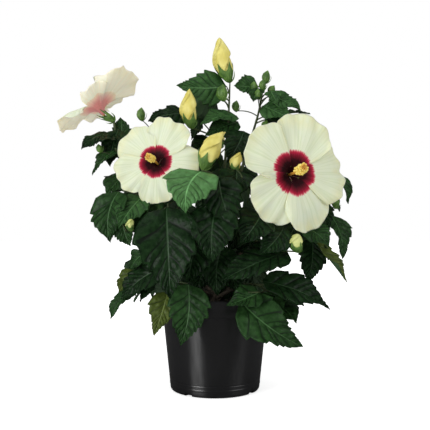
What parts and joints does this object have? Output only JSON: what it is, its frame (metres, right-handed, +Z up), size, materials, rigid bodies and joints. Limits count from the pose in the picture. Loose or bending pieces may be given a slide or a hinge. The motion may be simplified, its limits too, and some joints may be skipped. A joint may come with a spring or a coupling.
{
  "type": "potted hibiscus shrub",
  "caption": "Leafy shrub with large pale five-petalled flowers and furled buds, standing in a round tapered nursery pot.",
  "frame": {"origin": "middle of the pot's flat underside", "axes": "+Z up along the pot's axis, -Y towards the front that the open flowers face, +X to the right as seen from the front"},
  "size_m": [0.4723, 0.3449, 0.556],
  "materials": {
    "pot": "black moulded plastic, semi-gloss",
    "soil": "moist bark and peat potting mix, matt and crumbly",
    "bark": "grey-brown woody stem going green towards its tips, finely ridged",
    "leaf": "dark green, glossy, with sunken veins and a toothed edge",
    "petal": "creamy petals with yellow margins and a dark crimson eye, satin"
  },
  "bodies": {
    "root": {"pot": "pot", "soil": "soil", "trunk": "bark", "bough_top": "bark", "bough_top_right": "bark", "bough_upper_left": "bark", "bough_far_left": "bark", "bough_left": "bark", "bough_front_left": "bark", "bough_front": "bark", "bough_front_right": "bark", "bough_right": "bark", "bough_low_left": "bark", "bough_low_right": "bark", "bough_back_left": "bark", "bough_back_right": "bark", "bough_back": "bark", "bough_low_back_left": "bark", "bough_low_back_right": "bark", "flower_front_right": "petal", "flower_front_left": "petal", "flower_far_left": "petal", "foliage_top": "leaf", "foliage_top_right": "leaf", "foliage_upper_left": "leaf", "foliage_far_left": "leaf", "foliage_left": "leaf", "foliage_front_left": "leaf", "foliage_front": "leaf", "foliage_front_right": "leaf", "foliage_right": "leaf", "foliage_low_left": "leaf", "foliage_low_right": "leaf", "foliage_back_left": "leaf", "foliage_back_right": "leaf", "foliage_back": "leaf", "foliage_low_back_left": "leaf", "foliage_low_back_right": "leaf"}
  },
  "joints": []
}
